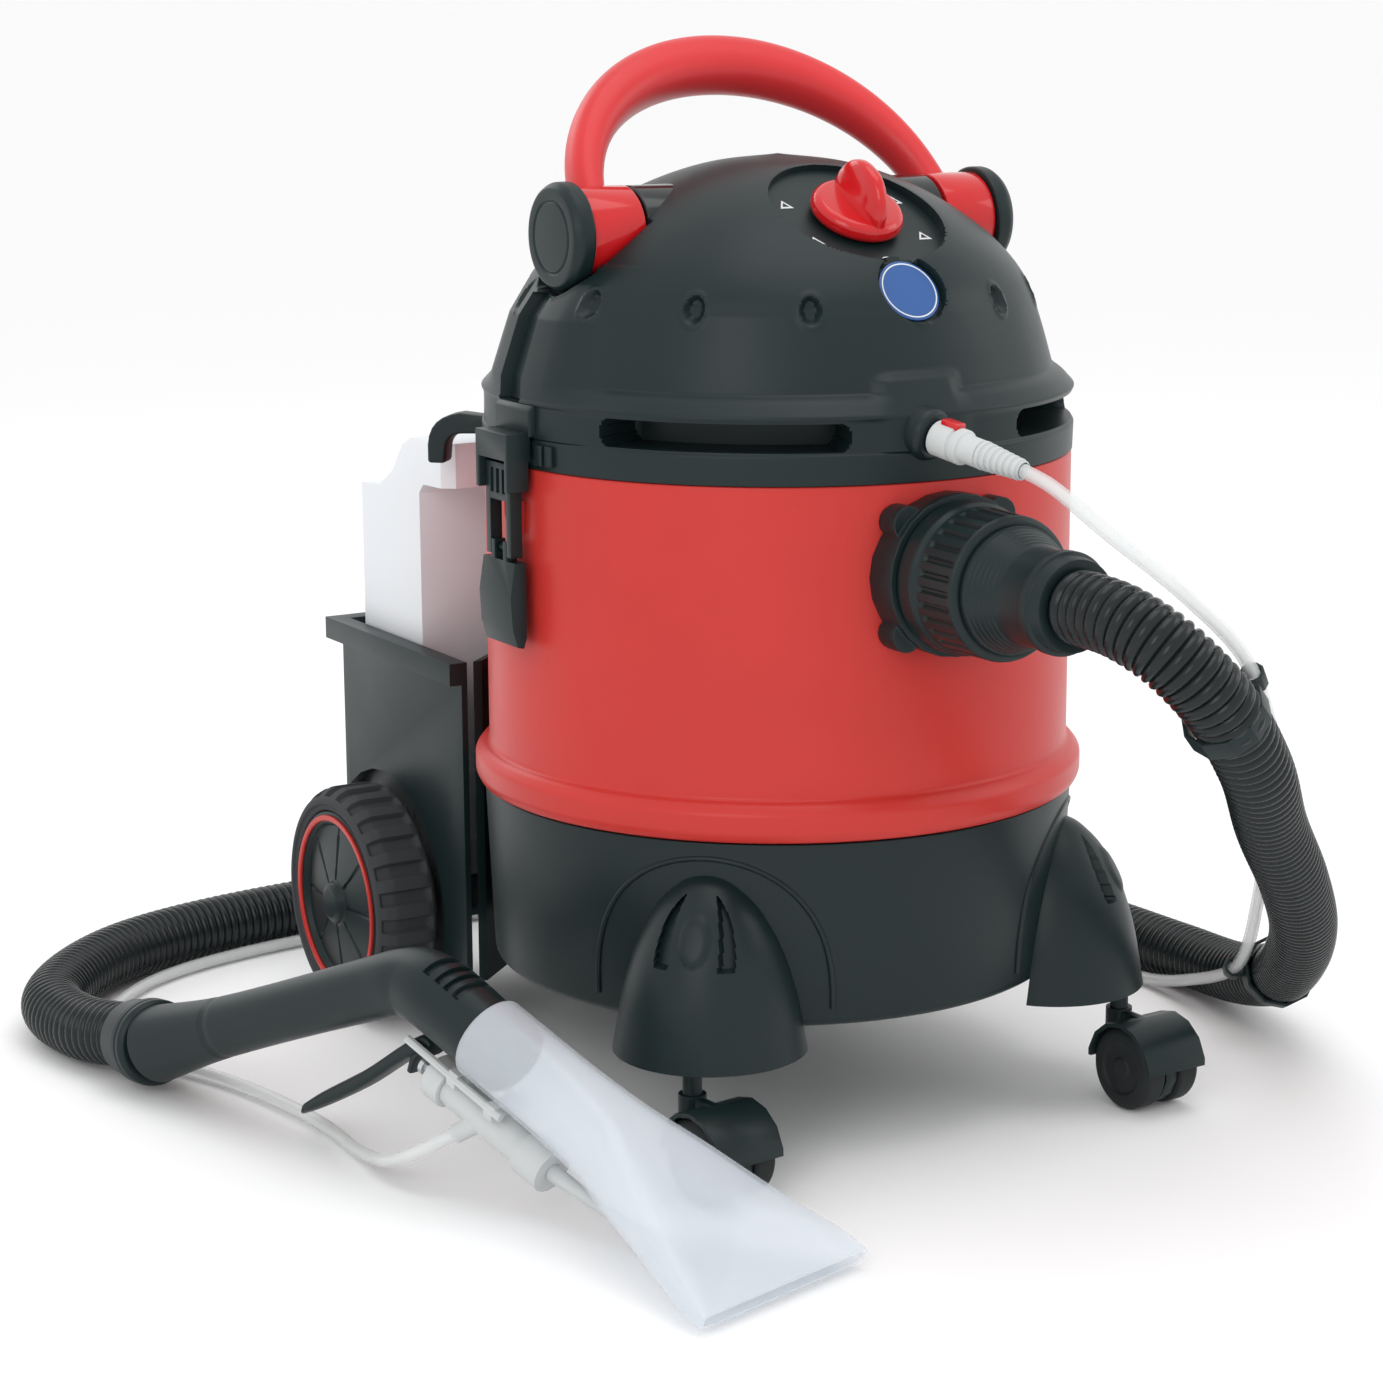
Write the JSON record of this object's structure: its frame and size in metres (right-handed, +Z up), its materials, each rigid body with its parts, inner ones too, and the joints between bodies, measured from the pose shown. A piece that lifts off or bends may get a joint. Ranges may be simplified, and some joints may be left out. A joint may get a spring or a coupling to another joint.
{
  "type": "shop vacuum",
  "caption": "Wet and dry valeting vacuum: red drum on wheels, black motor head with red handle, rear solution tank, hose and clear hand tool.",
  "frame": {"origin": "on the floor, under the middle of the machine and its hand tool without the hose", "axes": "+Z up; -Y is the front of the machine, where the hose leaves; +X is the side that the hose turns towards"},
  "size_m": [0.7264, 0.824, 0.628],
  "materials": {
    "black_shell": "satin moulded",
    "red_shell": "satin moulded",
    "red_gloss": "gloss moulded",
    "black_gloss": "gloss moulded",
    "light_grey": "satin moulded",
    "milky_tank": "translucent natural polyethylene",
    "clear_nozzle": "clear moulded plastic",
    "clear_tube": "clear flexible tube",
    "badge_blue": "printed label, plain",
    "rubber_black": "moulded rubber",
    "tyre_black": "hard tyre",
    "steel": "plain",
    "foam": "open cell foam",
    "hose_black": "corrugated, glossy"
  },
  "bodies": {
    "root": {"base": "black_shell", "drum": "red_shell", "caster_hood_left": "black_shell", "caster_hood_right": "black_shell", "tank_carrier": "black_shell", "wheel_axle": "steel", "inlet_flange": "black_shell", "suction_hose": "hose_black", "solution_tube": "clear_tube", "hose_cuff": "black_shell", "tool_cuff": "black_shell", "hose_clip_front": "black_shell", "hose_clip_rear": "black_shell", "tool_handpiece": "black_shell", "tool_nozzle": "clear_nozzle", "valve_body": "light_grey", "valve_cap": "light_grey", "spray_pipe": "light_grey"},
    "head": {"head_shell": "black_shell", "head_seal": "rubber_black", "motor_deck": "black_shell", "fan_housing": "steel", "motor_body": "steel", "float_cage": "black_shell", "foam_filter": "foam", "water_pump": "black_shell", "switch_body": "black_shell", "badge": "badge_blue", "cable_gland": "rubber_black", "handle_pivot_left": "black_shell", "handle_pivot_right": "black_shell", "latch_bracket_left": "black_shell", "latch_bracket_right": "black_shell", "cable_hook_left": "black_shell", "cable_hook_right": "black_shell", "tube_coupling": "light_grey", "tube_relief": "light_grey"},
    "knob": {"switch_knob": "red_gloss"},
    "handle": {"carry_handle": "red_shell"},
    "latch_link_left": {"latch_link_left": "black_shell"},
    "latch_lever_left": {"latch_lever_left": "black_shell"},
    "latch_link_right": {"latch_link_right": "black_shell"},
    "latch_lever_right": {"latch_lever_right": "black_shell"},
    "coupling_button": {"coupling_button": "red_gloss"},
    "fan": {"fan": "steel"},
    "float": {"float_ball": "red_shell"},
    "wheel_left": {"tyre_left": "tyre_black", "wheel_hub_left": "black_shell"},
    "wheel_right": {"tyre_right": "tyre_black", "wheel_hub_right": "black_shell"},
    "caster_left": {"caster_frame_left": "black_shell"},
    "caster_wheels_left": {"caster_wheels_left": "rubber_black"},
    "caster_right": {"caster_frame_right": "black_shell"},
    "caster_wheels_right": {"caster_wheels_right": "rubber_black"},
    "tank": {"solution_tank": "milky_tank"},
    "tank_cap": {"tank_cap": "black_shell"},
    "trigger": {"trigger": "black_shell"},
    "plunger": {"valve_plunger": "steel"},
    "air_slider": {"air_slider": "black_shell"},
    "hose_nut": {"hose_nut": "black_shell"}
  },
  "joints": [
    {"name": "head_lift", "type": "slide", "parent": "root", "child": "head", "axis": [0, 0, 1], "range_m": [0, 0.25]},
    {"name": "handle_swing", "type": "hinge", "parent": "head", "child": "handle", "pos_m": [0.088, 0.011, 0.519], "axis": [1, 0, 0], "range_deg": [-17, 85]},
    {"name": "knob_turn", "type": "hinge", "parent": "head", "child": "knob", "pos_m": [0.088, -0.071, 0.528], "axis": [0, -0.5, 0.866], "range_deg": [-270, 0]},
    {"name": "latch_link_left_swing", "type": "hinge", "parent": "head", "child": "latch_link_left", "pos_m": [-0.0953, 0.011, 0.388], "axis": [0, 1, 0], "range_deg": [0, 100]},
    {"name": "latch_lever_left_swing", "type": "hinge", "parent": "latch_link_left", "child": "latch_lever_left", "pos_m": [-0.0953, 0.011, 0.344], "axis": [0, 1, 0], "range_deg": [0, 98]},
    {"name": "latch_link_right_swing", "type": "hinge", "parent": "head", "child": "latch_link_right", "pos_m": [0.2713, 0.011, 0.388], "axis": [0, -1, 0], "range_deg": [0, 100]},
    {"name": "latch_lever_right_swing", "type": "hinge", "parent": "latch_link_right", "child": "latch_lever_right", "pos_m": [0.2713, 0.011, 0.344], "axis": [0, -1, 0], "range_deg": [0, 98]},
    {"name": "coupling_button_press", "type": "slide", "parent": "head", "child": "coupling_button", "axis": [-0.055, 0.201, -0.978], "range_m": [0, 0.002], "stiffness_N_per_m": 600},
    {"name": "fan_spin", "type": "hinge", "parent": "head", "child": "fan", "pos_m": [0.088, 0.011, 0.45], "axis": [0, 0, 1], "continuous": true},
    {"name": "float_rise", "type": "slide", "parent": "head", "child": "float", "axis": [0, 0, 1], "range_m": [0, 0.012]},
    {"name": "tank_lift", "type": "slide", "parent": "root", "child": "tank", "axis": [0, 0, 1], "range_m": [0, 0.22]},
    {"name": "tank_cap_turn", "type": "hinge", "parent": "tank", "child": "tank_cap", "pos_m": [0.18, 0.2, 0.39], "axis": [0, 0, 1], "range_deg": [0, 360]},
    {"name": "wheel_left_roll", "type": "hinge", "parent": "root", "child": "wheel_left", "pos_m": [-0.082, 0.254, 0.075], "axis": [1, 0, 0], "continuous": true},
    {"name": "wheel_right_roll", "type": "hinge", "parent": "root", "child": "wheel_right", "pos_m": [0.258, 0.254, 0.075], "axis": [1, 0, 0], "continuous": true},
    {"name": "caster_left_swivel", "type": "hinge", "parent": "root", "child": "caster_left", "pos_m": [-0.062, -0.139, 0.09], "axis": [0, 0, 1], "continuous": true},
    {"name": "caster_left_roll", "type": "hinge", "parent": "caster_left", "child": "caster_wheels_left", "pos_m": [-0.05887, -0.16481, 0.025], "axis": [0.9927, 0.1203, 0], "continuous": true},
    {"name": "caster_right_swivel", "type": "hinge", "parent": "root", "child": "caster_right", "pos_m": [0.238, -0.139, 0.09], "axis": [0, 0, 1], "continuous": true},
    {"name": "caster_right_roll", "type": "hinge", "parent": "caster_right", "child": "caster_wheels_right", "pos_m": [0.2393, -0.16497, 0.025], "axis": [0.9988, 0.0499, 0], "continuous": true},
    {"name": "trigger_pull", "type": "hinge", "parent": "root", "child": "trigger", "pos_m": [-0.18038, -0.05052, 0.07942], "axis": [0.9629, 0.27, 0], "range_deg": [0, 10], "stiffness_Nm_per_rad": 0.6},
    {"name": "plunger_pull", "type": "slide", "parent": "root", "child": "plunger", "axis": [-0.2503, 0.9009, 0.3545], "range_m": [0, 0.0016]},
    {"name": "air_slider_turn", "type": "hinge", "parent": "root", "child": "air_slider", "pos_m": [-0.17478, -0.06982, 0.10465], "axis": [0.2407, -0.8939, -0.3782], "range_deg": [0, 45]},
    {"name": "hose_nut_turn", "type": "hinge", "parent": "root", "child": "hose_nut", "pos_m": [0.088, -0.204, 0.339], "axis": [0, -1, 0], "range_deg": [0, 360]}
  ],
  "couplings": [
    {"joint": "plunger_pull", "follows": "trigger_pull", "m_per_rad": 0.009}
  ]
}
